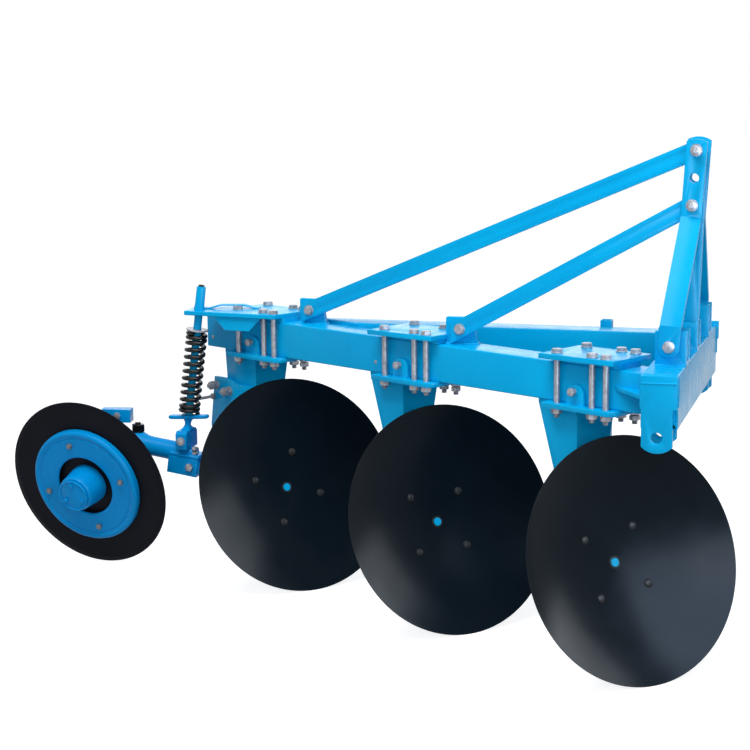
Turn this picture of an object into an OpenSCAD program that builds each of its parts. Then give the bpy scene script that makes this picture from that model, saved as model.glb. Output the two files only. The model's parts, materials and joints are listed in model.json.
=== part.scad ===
// Three-disc mounted plough: welded frame, clamped disc legs, sprung furrow wheel and parking stand.
// X points forward in the direction of travel, Y to the left and Z up.
// The ground is z = 0 and the origin lies under the middle of the outline.

/* [Discs] */
// Diameter of each plough disc
disc_d = 660; // [610:5:680]
// Depth of the dish from rim plane to vertex
disc_depth = 90; // [75:1:100]
// Steel thickness of a disc
disc_t = 6; // [5:0.5:7]
// Distance between neighbouring discs along the main beam
disc_pitch = 641; // [630:1:660]
// Angle of the disc axis to the right of forward
disc_angle = 45.2; // [43:0.1:47]
// Backward lean of the discs
disc_tilt = 18.2; // [16:0.1:20]
// Hole at the vertex of a disc
disc_hole_d = 24; // [20:1:28]
// Radius of the flange that carries a disc
hub_flange_r = 125; // [118:1:135]
// Diameter of the disc spindle
spindle_d = 60; // [50:1:66]
// Running clearance on the radius of the spindles
spindle_gap = 0.05; // [0.02:0.01:0.1]
// Outer radius of a bearing housing
housing_r = 62; // [56:1:66]

/* [Main beam] */
// Angle of the main beam to the line of travel
beam_angle = 28.2; // [27:0.1:29]
// Width of the main beam
beam_w = 100; // [96:1:104]
// Height of the main beam
beam_h = 108; // [100:1:112]
// Wall of the beams
beam_wall = 8; // [6:1:10]
// Height of the top of the main beam above the ground
beam_top = 809; // [804:1:814]
// Distance from the front disc to the rear end of the beam
beam_rear = 1708; // [1690:1:1730]
// Sideways offset of the beam from the line of disc centres
beam_off = 7; // [2:1:12]

/* [Cross beam and brace] */
// Width of the cross beam front to back
cross_w = 95; // [90:1:100]
// Height of the cross beam
cross_h = 140; // [130:1:145]
// Length of the cross beam
cross_l = 909; // [895:1:925]
// Height of the top of the cross beam
cross_top = 821; // [816:1:826]
// Forward position of the front face of the cross beam
cross_x = 117; // [112:1:122]
// Position of the right end of the cross beam
cross_y = -93; // [-100:1:-88]
// Right face of the brace beam
brace_y = 623; // [615:1:630]
// Width of the brace beam
brace_w = 90; // [80:1:94]
// Height of the brace beam
brace_h = 100; // [90:1:104]

/* [Hitch] */
// Height of the lower link holes
link_z = 660; // [650:1:668]
// Diameter of the lower link holes
link_hole_d = 29; // [28:0.1:30]
// Thickness of the lower link plates
link_t = 12; // [10:1:14]
// Free gap between the two plates of a lower link
link_gap = 76; // [66:1:80]
// Width of a lower link lug
link_w = 80; // [74:1:84]
// Height of the top link hole above the lower link holes
mast_rise = 628; // [618:1:636]
// Diameter of the top link hole
top_hole_d = 25.7; // [25.5:0.1:26.5]
// Width of the mast bars
mast_w = 56; // [52:1:60]
// Thickness of the mast bars
mast_t = 12; // [10:1:14]
// Free gap between the mast bars at the top
mast_gap = 46; // [46:1:52]
// Spacing between the feet of the mast
foot_span = 600; // [580:1:620]
// Width of the ears that hold the feet of the mast
foot_w = 82; // [78:1:84]
// Height of those ears
foot_h = 90; // [86:1:94]
// Width of the upright in the middle of the mast
strut_w = 64; // [58:1:66]
// Thickness of that upright
strut_t = 12; // [10:1:12]
// Thickness of the stays
stay_t = 16; // [12:1:16]
// Depth of the stays
stay_w = 50; // [44:1:54]
// Diameter of the mast and stay bolts
pin_d = 20; // [18:1:22]
// Clearance of a bolt hole on the radius
pin_gap = 0.1; // [0.05:0.05:0.5]

/* [Leg clamps] */
// Thickness of a clamp plate
clamp_t = 14; // [12:1:16]
// Thickness of the flange on top of a leg
flange_t = 14; // [12:1:16]
// Thickness of the packing between a clamp plate and the beam
pad_t = 13; // [10:1:15]
// Diameter of the clamp bolts
bolt_d = 16; // [14:1:16]
// Width of the clamp bolt heads across the flats
head_w = 26; // [24:1:27]
// Free space between the clamp bolts and the beam
bolt_off = 5.5; // [5:0.5:6.5]

/* [Furrow wheel] */
// Diameter of the furrow wheel
wheel_d = 562; // [550:1:575]
// Thickness of the furrow wheel disc
wheel_t = 10; // [8:1:12]
// Lean of the furrow wheel
wheel_lean = 13.6; // [12:0.1:15]
// Angle of the wheel axle to the right of forward
wheel_angle = 98.6; // [97:0.1:100]
// Diameter of the wheel axle
axle_d = 50; // [44:1:54]
// Outer radius of the wheel hub
hub_r = 65.7; // [62:0.1:68]
// Diameter of the wheel arm tube
arm_d = 52; // [48:1:54]
// Outer diameter of the coil spring
spring_d = 60; // [56:1:62]
// Wire diameter of the coil spring
wire_d = 10; // [9:0.5:11]
// Number of coils
coils = 11; // [9:1:12]
// Diameter of the spring rod
rod_d = 24; // [20:1:26]
// Clearance of the spring rod in its plate on the radius
rod_gap = 0.5; // [0.3:0.1:1]

/* [Stand] */
// Width of the square parking stand
stand_w = 34; // [32:1:40]
// Clearance around the stand in its socket
stand_gap = 0.8; // [0.5:0.1:1]
// Height of the stand above the main beam
stand_peg = 27; // [15:1:40]

/* [Hidden] */
$fn = 64;
disc_r = disc_d / 2;
dish_r = (disc_r * disc_r + disc_depth * disc_depth) / (2 * disc_depth);
dish_z = dish_r - disc_depth;
lip = 1.5;
edge_w = 25;
disc_z = disc_r * cos(disc_tilt) + lip * sin(disc_tilt);
n_x = cos(disc_tilt) * cos(disc_angle);
n_y = -cos(disc_tilt) * sin(disc_angle);
wheel_r = wheel_d / 2;
w_x = cos(wheel_lean) * cos(wheel_angle);
wheel_z = wheel_r * cos(wheel_lean) + lip * sin(wheel_lean);
wheel_c = [-1845, 621.4, wheel_z];
mast_x = 103;
foot_x = 73;
foot_z = cross_top + 50;
top_z = link_z + mast_rise + 75;
low_z = link_z + mast_rise - 73;
mast_y = cross_y + cross_l / 2;
mast_lean = atan((mast_x - foot_x) / (top_z - foot_z));
x_hi = max(mast_x + mast_w / 2, disc_r * sqrt(1 - n_x * n_x));
x_lo = wheel_c[0] - wheel_r * sqrt(1 - w_x * w_x) - lip * abs(w_x);
y_lo = -disc_r * sqrt(1 - n_y * n_y);
y_hi = beam_rear * sin(beam_angle) + (beam_off + beam_w) * cos(beam_angle);
mid = [-(x_hi + x_lo) / 2, -(y_lo + y_hi) / 2, 0];
back = cross_x - cross_w;
beam_low = beam_top - beam_h;
cross_low = cross_top - cross_h;
rows = [-1, 1];
bolt_x = [-94, -140, -258];
bolt_y = beam_w / 2 + bolt_d / 2 + bolt_off;
plate_z = beam_top + pad_t;
clamp_x = [-292, -58];
clamp_y = bolt_y + 17;
leg_top = beam_low - flange_t;
flange_x = [-296, -58];
flange_y = bolt_y + 20;
corner_r = 30;
ear_x = -198.5;
ear_r = 29.5;
ear_h = 55;
hub_back = -116;
house_front = -135;
house_back = -275;
link_x = back + cross_w / 2 - 4;
link_arc = 56;
link_low = 40;
strut_y = mast_y - mast_gap / 2 + 1 + strut_t / 2;
strut_foot = [83, cross_top + 11 + strut_w / 2];
stay_end = 27;
eye_t = 14;
eye_w = 50;
rear_eye = [-1099, 657, beam_top + 42];
mid_eye = [-556, mast_y + 2, beam_top + 44];
stand_x = -200;
stand_y = brace_y + brace_w + 30;
stand_h = beam_top + stand_peg;
arm_y = 685;
rod_top = [-1466, arm_y, 912];
rod_low = [-1531, arm_y, 421];
rod_lean = atan((rod_top[0] - rod_low[0]) / (rod_top[2] - rod_low[2]));
rod_l = norm(rod_top - rod_low);
rod_foot = rod_low + (rod_top - rod_low) * (plate_z - rod_low[2]) / (rod_top[2] - rod_low[2]);
rod_at = [rod_foot[0] * cos(beam_angle) - rod_foot[1] * sin(beam_angle) + 2 * disc_pitch,
  rod_foot[0] * sin(beam_angle) + rod_foot[1] * cos(beam_angle) - beam_off - beam_w / 2];
seat_z = 86;
washer_z = 352;
pivot = [-1440, arm_y, 330];
pivot_x = pivot[0] * cos(beam_angle) - 785 * sin(beam_angle) + 2 * disc_pitch;
arm_a = [-1500, arm_y, 369];
arm_b = [-1708, arm_y, 399.5];
arm_pitch = atan((arm_b[2] - arm_a[2]) / (arm_a[0] - arm_b[0]));
block_c = [-1534, arm_y, 338];
block = [100, 68, 56];
boss_l = 125;
yoke = [38, 94, 57];
yoke_slot = 56;
bead_r = 11;
flange_r = 190;
annulus = [104, 19, 26];
bevel_w = 16;
blue = [0.05, 0.55, 0.85];
dark = [0.08, 0.09, 0.12];
zinc = [0.7, 0.71, 0.72];

// Places its children in the frame of the finished plough
module place() {
  translate(mid) children();
}

// Frame of the main beam: X forward along the beam, Y across it
module along_beam() {
  place() rotate([0, 0, -beam_angle]) children();
}

// Frame of one disc: Z out of the hollow face, rim plane at zero
module on_disc(k) {
  along_beam() translate([-k * disc_pitch, 0, disc_z])
    rotate([0, 90 - disc_tilt, beam_angle - disc_angle]) children();
}

// Frame of one leg clamp: X forward from the disc centre, Y from the beam centre
module on_clamp(k) {
  along_beam() translate([-k * disc_pitch, beam_off + beam_w / 2, 0]) children();
}

// Frame of the furrow wheel: Z outward along the axle
module on_wheel() {
  place() translate(wheel_c) rotate([0, 90 + wheel_lean, -wheel_angle]) children();
}

// Frame of the spring rod: Z along the rod from the lower pin
module on_rod() {
  place() translate(rod_low) rotate([0, rod_lean, 0]) children();
}

// Round bar along Y
module bar_y(d, y0, y1) {
  translate([0, y0, 0]) rotate([-90, 0, 0]) cylinder(d = d, h = y1 - y0);
}

// Hexagon head or nut with its axis on Z
module hex(across, h) {
  cylinder(d = across / cos(30), h = h, $fn = 6);
}

module main_beam() {
  color(blue) difference() {
    along_beam() translate([-beam_rear, beam_off, beam_low]) difference() {
      cube([beam_rear + 120, beam_w, beam_h]);
      translate([beam_wall, beam_wall, beam_wall])
        cube([beam_rear + 120, beam_w - 2 * beam_wall, beam_h - 2 * beam_wall]);
    }
    place() translate([back, -400, 0]) cube([400, 1200, 1200]);
  }
}

module cross_beam() {
  color(blue) place() translate([back, cross_y + link_t, cross_low]) difference() {
    cube([cross_w, cross_l - 2 * link_t, cross_h]);
    translate([beam_wall, -1, beam_wall])
      cube([cross_w - 2 * beam_wall, cross_l, cross_h - 2 * beam_wall]);
  }
}

module brace_beam() {
  color(blue) difference() {
    place() translate([-1400, brace_y, beam_top - brace_h]) difference() {
      cube([1400 + back, brace_w, brace_h]);
      translate([-1, beam_wall, beam_wall])
        cube([1500 + back, brace_w - 2 * beam_wall, brace_h - 2 * beam_wall]);
    }
    along_beam() translate([-3000, -2000 + beam_off + beam_w, 0]) cube([4000, 2000, 1200]);
  }
}

module corner_gusset() {
  color(blue) difference() {
    place() translate([0, 0, beam_low + beam_h / 2]) linear_extrude(12) difference() {
      polygon([[back, cross_y + 12], [back, 80], [-65, 80], [-65, 43]]);
      translate([-127.7, -93.5]) circle(r = 149, $fn = 360);
    }
    along_beam() translate([-1000, beam_off, 0]) cube([2000, 400, 1200]);
  }
}

// Lug of a lower link with a shallow round foot, drawn flat
module lug_shape(low, high) {
  difference() {
    intersection() {
      translate([link_x - link_w / 2, link_z - low]) square([link_w, high - link_z + low]);
      union() {
        translate([link_x, link_z - low + link_arc]) circle(r = link_arc);
        translate([0, link_z - low + link_arc]) square([200, 400]);
      }
    }
    translate([link_x, link_z]) circle(d = link_hole_d);
  }
}

// Puts a flat shape upright across the plough, starting at one Y
module upright(y, t) {
  translate([0, y + t, 0]) rotate([90, 0, 0]) linear_extrude(t) children();
}

module lower_link_right() {
  color(blue) place() upright(cross_y, link_t) {
    lug_shape(link_low, cross_low + 60);
    translate([back, cross_low + 52]) square([cross_w, cross_h - 52]);
  }
}

module lower_link_left() {
  color(blue) place() upright(2 * mast_y - cross_y - link_t, link_t) {
    lug_shape(link_low, cross_low + 60);
    polygon([[back, cross_low + 52], [cross_x, cross_low + 52], [cross_x, cross_top - 45],
      [cross_x + 6, cross_top - 39], [cross_x + 6, cross_top + 12], [back, cross_top + 12]]);
  }
}

module link_lug_right() {
  color(blue) place() upright(cross_y + link_t + link_gap, link_t) lug_shape(link_low - 6, cross_low);
}

module link_lug_left() {
  color(blue) place() upright(2 * mast_y - cross_y - 2 * link_t - link_gap, link_t)
    lug_shape(link_low - 6, cross_low);
}

// Base and two ears that hold one foot of the mast, right side
module mast_foot() {
  y = mast_y - foot_span / 2 + mast_t / 2;
  difference() {
    translate([foot_x + 4 - foot_w / 2, y, cross_top]) {
      cube([foot_w, 70, 10]);
      for (s = [0, 58]) translate([0, s, 0]) cube([foot_w, 12, foot_h]);
    }
    translate([foot_x, y, foot_z]) bar_y(pin_d + 2 * pin_gap, -20, 120);
  }
}

module mast_foot_right() {
  color(blue) place() mast_foot();
}

module mast_foot_left() {
  color(blue) place() translate([0, 2 * mast_y, 0]) mirror([0, 1, 0]) mast_foot();
}

module mast_foot_mid() {
  color(blue) place() difference() {
    translate([foot_x + 4 - foot_w / 2, strut_y - 38, cross_top]) {
      cube([foot_w, 76, 10]);
      for (s = [0, 64]) translate([0, s, 0]) cube([foot_w, 12, foot_h - 12]);
    }
    translate([strut_foot[0], strut_y, strut_foot[1]]) bar_y(pin_d + 2 * pin_gap, -60, 60);
  }
}

// Bent flat bar of the mast, right side, of one width and extra height
module mast_leg(w, rise) {
  y0 = -foot_span / 2 + mast_t / 2;
  y1 = -mast_gap / 2;
  z1 = foot_z - 30;
  z2 = cross_top + foot_h + 10;
  z3 = low_z - 36;
  z4 = top_z + 30 + rise;
  k = mast_t * 0.42;
  translate([foot_x, mast_y, foot_z]) rotate([0, mast_lean, 0]) translate([0, 0, -foot_z])
    difference() {
      intersection() {
        rotate([90, 0, 90]) translate([0, 0, -w / 2]) linear_extrude(w)
          polygon([[y0, z1], [y0, z2 - k], [y1, z3 - k], [y1, z4], [y1 - mast_t, z4],
            [y1 - mast_t, z3 + k], [y0 - mast_t, z2 + k], [y0 - mast_t, z1]]);
        union() {
          translate([0, 0, foot_z]) bar_y(w, -400, 400);
          translate([-w / 2, -400, foot_z]) cube([w, 800, top_z - foot_z]);
          translate([0, 0, z4 - 60]) bar_y(120, -400, 400);
        }
      }
      translate([0, 0, foot_z]) bar_y(pin_d + 2 * pin_gap, -400, 400);
      translate([0, 0, low_z]) bar_y(pin_d + 2 * pin_gap, -400, 400);
      translate([0, 0, top_z]) bar_y(pin_d + 2 * pin_gap, -400, 400);
      translate([0, 0, link_z + mast_rise]) bar_y(top_hole_d, -400, 400);
    }
}

module mast_leg_right() {
  color(blue) place() mast_leg(mast_w, 0);
}

module mast_leg_left() {
  color(blue) place() translate([0, 2 * mast_y, 0]) mirror([0, 1, 0]) mast_leg(mast_w + 8, 4);
}

// Through bolt along Y with a head and a nut
module through_bolt(y0, y1) {
  bar_y(pin_d, y0 - 4, y1 + 18);
  translate([0, y0, 0]) rotate([90, 0, 0]) hex(30, 12);
  translate([0, y1, 0]) rotate([-90, 0, 0]) hex(30, 14);
}

function mast_at(z) =
  [foot_x + (z - foot_z) * sin(mast_lean), mast_y, foot_z + (z - foot_z) * cos(mast_lean)];

module mast_strut() {
  top = mast_at(low_z);
  rise = top[2] - strut_foot[1];
  color(blue) place() translate([strut_foot[0], strut_y, strut_foot[1]])
    rotate([0, atan((top[0] - strut_foot[0]) / rise), 0]) difference() {
      len = norm([top[0] - strut_foot[0], rise]);
      union() {
        for (z = [0, len]) translate([0, 0, z]) bar_y(strut_w, -strut_t / 2, strut_t / 2);
        translate([-strut_w / 2, -strut_t / 2, 0]) cube([strut_w, strut_t, len]);
      }
      for (z = [0, len]) translate([0, 0, z]) bar_y(pin_d + 2 * pin_gap, -20, 20);
    }
}

module mast_bolts() {
  o = mast_gap / 2 + mast_t;
  color(zinc) place() {
    translate(mast_at(top_z)) through_bolt(-o, o);
    translate(mast_at(low_z)) through_bolt(-o, o);
    for (s = [0, 1]) translate([0, s * 2 * mast_y, 0]) mirror([0, s, 0])
      translate([foot_x, mast_y - foot_span / 2, foot_z]) through_bolt(-mast_t / 2, mast_t / 2 + 70);
    translate([strut_foot[0], strut_y, strut_foot[1]]) through_bolt(-38, 38);
  }
}

// Flat bar from a bolt in the mast to an eye on the beam, its rear end cut upright
module stay(a, b) {
  d = b - a;
  run = norm([d[0], d[1]]);
  difference() {
    translate(a) rotate([0, 0, atan2(d[1], d[0])]) difference() {
      rotate([0, -atan(d[2] / run), 0]) {
        bar_y(stay_w, -stay_t / 2, stay_t / 2);
        translate([0, -stay_t / 2, -stay_w / 2]) cube([norm(d) + 2 * stay_w, stay_t, stay_w]);
      }
      translate([run + stay_end, -stay_t, -1000]) cube([400, 2 * stay_t, 2000]);
      translate([run, 0, d[2]]) bar_y(pin_d + 2 * pin_gap, -60, 60);
    }
    translate(a) bar_y(pin_d + 2 * pin_gap, -60, 60);
  }
}

// Frame at an eye on the beam: X toward the mast bolt that its stay comes from
module on_eye(p, a) {
  place() translate(p) rotate([0, 0, atan2(a[1] - p[1], a[0] - p[0])]) children();
}

module stay_long() {
  color(blue) place() stay(mast_at(top_z), rear_eye);
}

module stay_short() {
  color(blue) place() stay(mast_at(low_z), mid_eye);
}

// Lug on top of the main beam behind the foot of a stay
module stay_lug(p, a) {
  on_eye(p, a) difference() {
    translate([0, stay_t / 2, 0]) {
      bar_y(eye_w, 0, eye_t);
      translate([-eye_w / 2, 0, beam_top - p[2]]) cube([eye_w, eye_t, p[2] - beam_top]);
    }
    bar_y(pin_d + 2 * pin_gap, -60, 60);
  }
}

module stay_brackets() {
  color(blue) {
    stay_lug(rear_eye, mast_at(top_z));
    stay_lug(mid_eye, mast_at(low_z));
  }
}

module stay_bolts() {
  color(zinc) {
    on_eye(rear_eye, mast_at(top_z)) through_bolt(-stay_t / 2, stay_t / 2 + eye_t);
    on_eye(mid_eye, mast_at(low_z)) through_bolt(-stay_t / 2, stay_t / 2 + eye_t);
  }
}

// Holes for the six bolts of a clamp
module clamp_holes() {
  for (x = bolt_x, y = rows) translate([x, y * bolt_y, 0]) cylinder(d = bolt_d + 1, h = 1200);
}

// Clamp plate of one outline with the packing under it
module clamp_plate(k, outline) {
  on_clamp(k) {
    difference() {
      translate([0, 0, plate_z]) linear_extrude(clamp_t) polygon(outline);
      clamp_holes();
    }
    translate([clamp_x[0] + 7, -beam_w / 2 + 2, beam_top])
      cube([clamp_x[1] - clamp_x[0] - 14, beam_w - 4, pad_t]);
  }
}

plain_plate = [[clamp_x[1], -clamp_y], [clamp_x[1], clamp_y + 3], [clamp_x[0], clamp_y - 4],
  [clamp_x[0], -clamp_y - 20]];
rear_plate = [[clamp_x[1] - 14, -clamp_y], [clamp_x[1] - 14, clamp_y + 3], [clamp_x[0], clamp_y - 4],
  [clamp_x[0] - 8, 10], rod_at + [-58, 20], rod_at + [-18, -46]];
rib = [8, 30, 165, 95];

module clamp_plate_front() {
  color(blue) clamp_plate(0, plain_plate);
}

module clamp_plate_mid() {
  color(blue) clamp_plate(1, plain_plate);
}

module clamp_plate_rear() {
  near = rear_plate[5] - rear_plate[0];
  color(blue) difference() {
    union() {
      clamp_plate(2, rear_plate);
      on_clamp(2) translate([rear_plate[0][0], rear_plate[0][1], plate_z])
        rotate([0, 0, atan2(near[1], near[0])]) translate([rib[3], -10, 0]) rotate([90, 0, 0])
          linear_extrude(rib[0]) polygon([[0, 0], [rib[2], 0], [rib[2] - 40, -rib[1]], [40, -rib[1]]]);
    }
    on_rod() cylinder(d = rod_d + 2 * rod_gap, h = rod_l);
  }
}

module clamp_bolts(k) {
  on_clamp(k) for (x = bolt_x, y = rows) translate([x, y * bolt_y, 0]) {
    translate([0, 0, leg_top - 24]) cylinder(d = bolt_d, h = plate_z + clamp_t - leg_top + 25);
    translate([0, 0, plate_z + clamp_t]) hex(head_w, 10);
    translate([0, 0, leg_top - 13]) hex(head_w, 13);
  }
}

module clamp_bolts_front() {
  color(zinc) clamp_bolts(0);
}

module clamp_bolts_mid() {
  color(zinc) clamp_bolts(1);
}

module clamp_bolts_rear() {
  color(zinc) clamp_bolts(2);
}

// Sections of a leg from its flange down to the bearing, each as a height, the near front edge,
// the rear edge, the far front edge and the two sides
leg_rows = [[leg_top + 4, -208, -340, -142, -40, 40], [430, -206, -262, -190, -40, 36],
  [262, -184, -232, -172, -34, 30]];
rear_rows = [[leg_top + 4, -208, -350, -142, -40, 40], [430, -206, -329, -190, -40, 36],
  [262, -184, -256, -172, -34, 30]];

// Flange on top of a leg, rounded at its front corners
module leg_flange() {
  len = flange_x[1] - flange_x[0];
  translate([flange_x[0], -flange_y]) square([len - corner_r, 2 * flange_y]);
  translate([flange_x[0], -flange_y + corner_r]) square([len, 2 * flange_y - 2 * corner_r]);
  for (s = rows) translate([flange_x[1] - corner_r, s * (flange_y - corner_r)]) circle(r = corner_r);
}

module disc_leg(k, table) {
  difference() {
    on_clamp(k) {
      difference() {
        translate([0, 0, leg_top]) linear_extrude(flange_t) leg_flange();
        clamp_holes();
      }
      polyhedron(
        [for (s = table, i = [0:3]) [s[[1, 2, 2, 3][i]], s[[4, 4, 5, 5][i]], s[0]]],
        [[0, 1, 2, 3], [11, 10, 9, 8], for (r = [0, 4], i = [0:3], t = [0, 1])
          t == 0 ? [r + i, r + 4 + i, r + (i + 1) % 4] : [r + (i + 1) % 4, r + 4 + i, r + 4 + (i + 1) % 4]]);
      translate([ear_x, -beam_w / 2 - 12, beam_low]) {
        translate([0, 0, ear_h - ear_r]) bar_y(2 * ear_r, 0, 10);
        translate([-ear_r, 0, 0]) cube([2 * ear_r, 10, ear_h - ear_r]);
      }
    }
    on_disc(k) translate([0, 0, house_back - 20]) cylinder(r = housing_r, h = 200);
  }
}

module disc_leg_front() {
  color(blue) disc_leg(0, leg_rows);
}

module disc_leg_mid() {
  color(blue) disc_leg(1, leg_rows);
}

module disc_leg_rear() {
  color(blue) disc_leg(2, rear_rows);
}

module housing(k) {
  on_disc(k) difference() {
    union() {
      translate([0, 0, house_back]) cylinder(r = housing_r, h = house_front - house_back);
      translate([0, 0, house_back - 8]) cylinder(r = housing_r - 12, h = 10);
    }
    translate([0, 0, house_back + 10]) cylinder(d = spindle_d + 2 * spindle_gap, h = 300);
  }
}

module housing_front() {
  color(blue) housing(0);
}

module housing_mid() {
  color(blue) housing(1);
}

module housing_rear() {
  color(blue) housing(2);
}

module disc(k) {
  on_disc(k) rotate_extrude($fn = 128) difference() {
    intersection() {
      difference() {
        translate([0, dish_z]) circle(r = dish_r + disc_t, $fn = 256);
        translate([0, dish_z]) circle(r = dish_r, $fn = 256);
      }
      translate([disc_hole_d / 2, -disc_depth - 20]) square([disc_r - disc_hole_d / 2, disc_depth + 20]);
    }
    polygon([[disc_r - edge_w, dish_z - sqrt(pow(dish_r + disc_t, 2) - pow(disc_r - edge_w, 2))],
      [disc_r, -lip], [disc_r + 20, -lip], [disc_r + 20, -60], [disc_r - edge_w, -60]]);
  }
}

module disc_front() {
  color(dark) disc(0);
}

module disc_mid() {
  color(dark) disc(1);
}

module disc_rear() {
  color(dark) disc(2);
}

module disc_hub(k) {
  on_disc(k) {
    rotate_extrude() difference() {
      translate([0, hub_back]) square([hub_flange_r, 40]);
      translate([0, dish_z]) circle(r = dish_r + disc_t, $fn = 256);
    }
    translate([0, 0, hub_back]) cylinder(d = disc_hole_d - 0.6, h = -disc_depth - hub_back + 2);
    translate([0, 0, house_back + 14]) cylinder(d = spindle_d, h = hub_back - house_back - 13);
    translate([0, 0, house_front + 5]) cylinder(r = housing_r - 6, h = hub_back - house_front - 4);
  }
}

module disc_hub_front() {
  color(blue) disc_hub(0);
}

module disc_hub_mid() {
  color(blue) disc_hub(1);
}

module disc_hub_rear() {
  color(blue) disc_hub(2);
}

module stand_socket() {
  s = stand_w + 2 * stand_gap;
  color(blue) place() translate([stand_x, stand_y, 0]) difference() {
    translate([-s / 2 - 8, -30, beam_top - brace_h]) cube([s + 16, 30 + s / 2 + 8, brace_h]);
    translate([-s / 2, -s / 2, 0]) cube([s, s, 1200]);
  }
}

module stand_leg() {
  color(blue) place() translate([stand_x, stand_y, 0]) {
    difference() {
      translate([-stand_w / 2, -stand_w / 2, 8]) cube([stand_w, stand_w, stand_h - 8]);
      translate([-stand_w / 2 + 4, -stand_w / 2 + 4, 20]) cube([stand_w - 8, stand_w - 8, stand_h]);
    }
    translate([-60, -60, 0]) cube([120, 120, 8]);
  }
}

// Outline of the plate on the rear leg that carries the wheel arm
bracket = [[-392, 606], [-327, 606], [-284, 591], [-215, 591], [-215, 500], [-300, 470],
  [pivot_x + 35, pivot[2] - 4], [pivot_x - 37, pivot[2] - 4], [-414, 446]];

module wheel_bracket() {
  color(blue) difference() {
    union() {
      on_clamp(2) {
        upright(-52, 12) polygon(bracket);
        translate([pivot_x, 0, pivot[2]]) bar_y(80, -52, -40);
      }
      place() translate(pivot) bar_y(66, block[1] / 2, boss_l);
    }
    place() translate(pivot) bar_y(pin_d + 2 * pin_gap, 0, 200);
  }
}

module wheel_arm() {
  color(blue) {
    arm_tube();
    place() difference() {
      union() {
        translate(block_c) rotate([0, arm_pitch, 0]) cube(block, center = true);
        translate(pivot) bar_y(64, -block[1] / 2, block[1] / 2);
        translate([block_c[0], arm_y - 28, pivot[2] - 18]) cube([pivot[0] - block_c[0], 56, 38]);
        translate([rod_low[0] - 16, arm_y - 7, block_c[2]]) cube([32, 14, rod_low[2] - block_c[2]]);
        translate(rod_low) bar_y(32, -7, 7);
      }
      translate(pivot) bar_y(pin_d + 2 * pin_gap, -80, 80);
      translate(rod_low) bar_y(pin_d + 2 * pin_gap, -30, 30);
    }
  }
}

module arm_bolts() {
  color(zinc) place() {
    translate(pivot) through_bolt(-block[1] / 2, boss_l);
    translate(rod_low) through_bolt(-yoke[1] / 2, yoke[1] / 2);
  }
}

// Crank that joins the wheel axle to the rear end of the arm
module crank() {
  hull() {
    on_wheel() translate([0, 0, -134]) cylinder(r = 40, h = 26, $fn = 32);
    place() translate(arm_b + [-8, -13, 0]) rotate([-90, 0, 0]) cylinder(r = 38, h = 26, $fn = 32);
  }
}

// Tube of the wheel arm
module arm_tube() {
  place() translate(arm_a) rotate([0, arm_pitch - 90, 0]) cylinder(d = arm_d, h = norm(arm_b - arm_a));
}

module wheel_axle() {
  color(blue) {
    on_wheel() translate([0, 0, -130]) cylinder(d = axle_d, h = 190);
    difference() {
      crank();
      arm_tube();
    }
  }
}

module scraper_box() {
  color(blue) difference() {
    place() {
      translate([-1775, 702, 483]) rotate([0, 0, 10]) translate([-47.5, -22, -21]) cube([95, 44, 42]);
      translate([-1800, 696, 360]) cube([30, 16, 110]);
    }
    crank();
    arm_tube();
  }
}

module spring_rod() {
  color(blue) on_rod() translate([0, 0, seat_z]) cylinder(d = rod_d, h = rod_l - seat_z);
}

module spring_washer() {
  color(zinc) on_rod() translate([0, 0, washer_z]) difference() {
    cylinder(d = spring_d - 2, h = 4);
    translate([0, 0, -1]) cylinder(d = rod_d + 0.4, h = 6);
  }
}

// Wire section, bent round so that a twist gives a round wire
module wire(m, w, p) {
  polygon([for (u = [0:30:330]) let (r = m + w * cos(u), a = 360 * w * sin(u) / p) [r * cos(a), r * sin(a)]]);
}

module spring() {
  h = washer_z - seat_z;
  color(dark) on_rod() translate([0, 0, seat_z])
    linear_extrude(h, twist = -360 * coils, slices = coils * 16, $fn = 12)
      wire((spring_d - wire_d) / 2, wire_d / 2, h / coils);
}

module spring_seat() {
  top = rod_low[2] + 31;
  color(blue) difference() {
    union() {
      place() difference() {
        translate([rod_low[0] - yoke[0] / 2, arm_y - yoke[1] / 2, top - yoke[2]]) cube(yoke);
        translate([rod_low[0] - yoke[0], arm_y - yoke_slot / 2, top - yoke[2] - 1])
          cube([2 * yoke[0], yoke_slot, yoke[2] - 13]);
        for (s = rows) translate([rod_low[0], arm_y + s * yoke[1] / 2, top]) rotate([45, 0, 0])
          cube([2 * yoke[0], 12, 12], center = true);
      }
      on_rod() translate([0, 0, 26]) cylinder(d = 28, h = 50);
      place() translate([rod_low[0] + 10 - 56, arm_y - 15, rod_low[2] + 66]) cube([112, 30, 11]);
      on_rod() translate([0, 0, 70]) cylinder(d = 46, h = seat_z - 70);
    }
    place() translate(rod_low) bar_y(pin_d + 2 * pin_gap, -60, 60);
  }
}

module wheel_disc() {
  color(dark) on_wheel() rotate_extrude($fn = 128)
    polygon([[hub_r + 0.3, -wheel_t / 2], [wheel_r - bevel_w, -wheel_t / 2], [wheel_r, -lip], [wheel_r, lip],
      [wheel_r - bevel_w, wheel_t / 2], [hub_r + 0.3, wheel_t / 2]]);
}

// Ring on the wheel: a wall with a round bead, a flat web and a rolled inner edge
module wheel_flange() {
  r = flange_r - bead_r;
  color(blue) on_wheel() rotate_extrude() difference() {
    union() {
      translate([flange_r - 8, wheel_t / 2]) square([8, bead_r + 1]);
      translate([r, wheel_t / 2 + bead_r + 1.5]) circle(r = bead_r, $fn = 48);
      translate([annulus[0], annulus[1]]) square([r - annulus[0], annulus[2] - annulus[1]]);
      translate([annulus[0], annulus[2] - 5]) circle(r = 5, $fn = 32);
    }
    translate([r - bead_r - 3, annulus[2] + 1]) circle(r = 3, $fn = 24);
  }
}

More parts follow.
